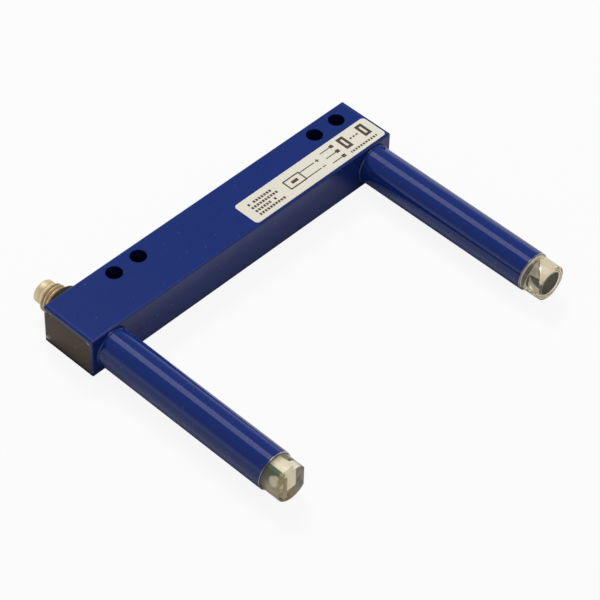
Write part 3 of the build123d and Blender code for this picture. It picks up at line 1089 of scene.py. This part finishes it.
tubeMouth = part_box("arm_tube_left")[0].y
makeTip("emitter_tip", tipSize["emitter"], tubeMouth)
makeTip("receiver_tip", tipSize["receiver"], tubeMouth)

holderSize = {                                 # in millimetres
    "sides": 96,
    "radius": 4.70,
    "bore": 2.90,
    "boreShift": (-0.95, -0.12),
    "depth": 0.50,
    "window": 0.08,
    "sharp": 40,                               # in degrees
}


def makeHolder(size):                          # white holder of the detector with its round dark window
    low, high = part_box("photodetector")
    tipLow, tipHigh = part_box("receiver_tip")
    centre = Vector(((tipLow.x + tipHigh.x) / 2, low.y, (tipLow.z + tipHigh.z) / 2))
    bore = centre + Vector((size["boreShift"][0] * mm, 0, size["boreShift"][1] * mm))
    depth, window = size["depth"] * mm, size["window"] * mm
    ring = bmesh.new()
    circleAlongY(ring, centre, size["radius"] * mm, size["sides"], False)
    circleAlongY(ring, bore, size["bore"] * mm, size["sides"], False)
    bmesh.ops.bridge_loops(ring, edges=ring.edges[:])
    pullOut(ring, ring.faces[:], (0, depth, 0))
    finish = plain["white_plastic_cast"]
    holder = pieceFrom(ring, "photodetector_holder", finish, "white_plastic", "photodetector")
    shadeBySharpness(holder, size["sharp"])
    disc = bmesh.new()
    circleAlongY(disc, bore + Vector((0, depth - window, 0)), size["bore"] * mm, size["sides"], True)
    pullOut(disc, disc.faces[:], (0, window, 0))
    finish = plain["chip_black_moulded"]
    cover = pieceFrom(disc, "detector_window_round", finish, "chip_black", "detector_window")
    shadeBySharpness(cover, size["sharp"])


makeHolder(holderSize)
print("tips cast")


# Label

labelPrint = {                                 # areas in millimetres: left, right, bottom and top
    "film": (colour(0.78, 0.745, 0.63), colour(0.83, 0.80, 0.69)),
    "fibre": 0.6,
    "fibreRough": 0.1,
    "rough": 0.42,
    "depth": 0.004,
    "ink": colour(0.046, 0.033, 0.018),
    "inkTint": 0.97,
    "wearGrain": 0.35,
    "wearSteps": (0.26, 0.36),
    "dashArea": (2.76, 12.0, 1.42, 7.0),
    "dashCell": (0.92, 1.42),
    "dashShare": (0.70, 0.56),
    "dashGaps": 0.16,
    "block": (14.6, 20.4, 2.4, 6.0),
    "blockLine": 0.42,
    "solid": (
        (16.4, 18.6, 3.7, 4.7),
        (20.4, 25.6, 2.54, 2.86),
        (20.4, 25.6, 5.24, 5.56),
        (26.1, 27.3, 5.24, 5.56),
        (26.54, 26.86, 4.80, 6.00),
        (26.1, 27.3, 2.54, 2.86),
    ),
    "wire": {"left": 28.9, "right": 32.4, "half": 0.15, "heights": (1.9, 4.2, 6.5)},
    "wireEnd": {"length": 1.2, "half": 0.55},
    "row": (35.2, 44.6, 1.10, 1.78),
    "rowShare": 0.66,
    "frames": {"lefts": (35.3, 42.2), "width": 2.4, "bottom": 2.9, "top": 7.3, "line": 0.85},
    "beam": (38.3, 41.6, 4.85, 5.40),
    "beamCell": 1.1,
    "beamShare": 0.6,
}


def labelFinish(size):                         # film with lines, dashes and symbols, no words
    finish = Finish("label_film_printed", {"IOR": 1.45})
    low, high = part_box("label")
    along = (finish.x - low.x) / mm
    across = (finish.y - low.y) / mm

    def area(left, right, bottom, top):
        return (along > left) * (along < right) * (across > bottom) * (across < top)

    def outline(left, right, bottom, top, line):
        inner = area(left + line, right - line, bottom + line, top - line)
        return area(left, right, bottom, top) - inner

    column, line = along / size["dashCell"][0], across / size["dashCell"][1]
    cell = finish.point(column.floor(), line.floor(), 0.0)
    chance = finish.node("TexWhiteNoise", {"noise_dimensions": "2D"}, {"Vector": cell})
    inDash = (column.wrap(1) < size["dashShare"][0]) * (line.wrap(1) < size["dashShare"][1])
    ink = inDash * (chance > size["dashGaps"]) * area(*size["dashArea"])
    ink = ink.most(outline(*size["block"], size["blockLine"]))
    for part in size["solid"]:
        ink = ink.most(area(*part))
    wire, end, frames = size["wire"], size["wireEnd"], size["frames"]
    for height in wire["heights"]:
        ink = ink.most(area(wire["left"], wire["right"], height - wire["half"], height + wire["half"]))
        ends = (wire["right"], wire["right"] + end["length"])
        ink = ink.most(area(*ends, height - end["half"], height + end["half"]))
    ink = ink.most(area(*size["row"]) * (column.wrap(1) < size["rowShare"]))
    for left in frames["lefts"]:
        sides = (left, left + frames["width"], frames["bottom"], frames["top"])
        ink = ink.most(outline(*sides, frames["line"]))
    inBeam = (along / size["beamCell"]).wrap(1) < size["beamShare"]
    ink = ink.most(area(*size["beam"]) * inBeam)
    fibre = finish.noise(size=size["fibre"], detail=3.0)
    wear = finish.step(finish.noise(size=size["wearGrain"], detail=3.0, seed=5.0), *size["wearSteps"])
    tone = finish.mix(ink * wear * size["inkTint"], finish.mix(fibre, *size["film"]), size["ink"])
    finish.use(colour=tone, rough=size["rough"] + fibre * size["fibreRough"])
    finish.bump(fibre, size["depth"])
    return finish


dress(labelFinish(labelPrint), "label")
print("label printed")
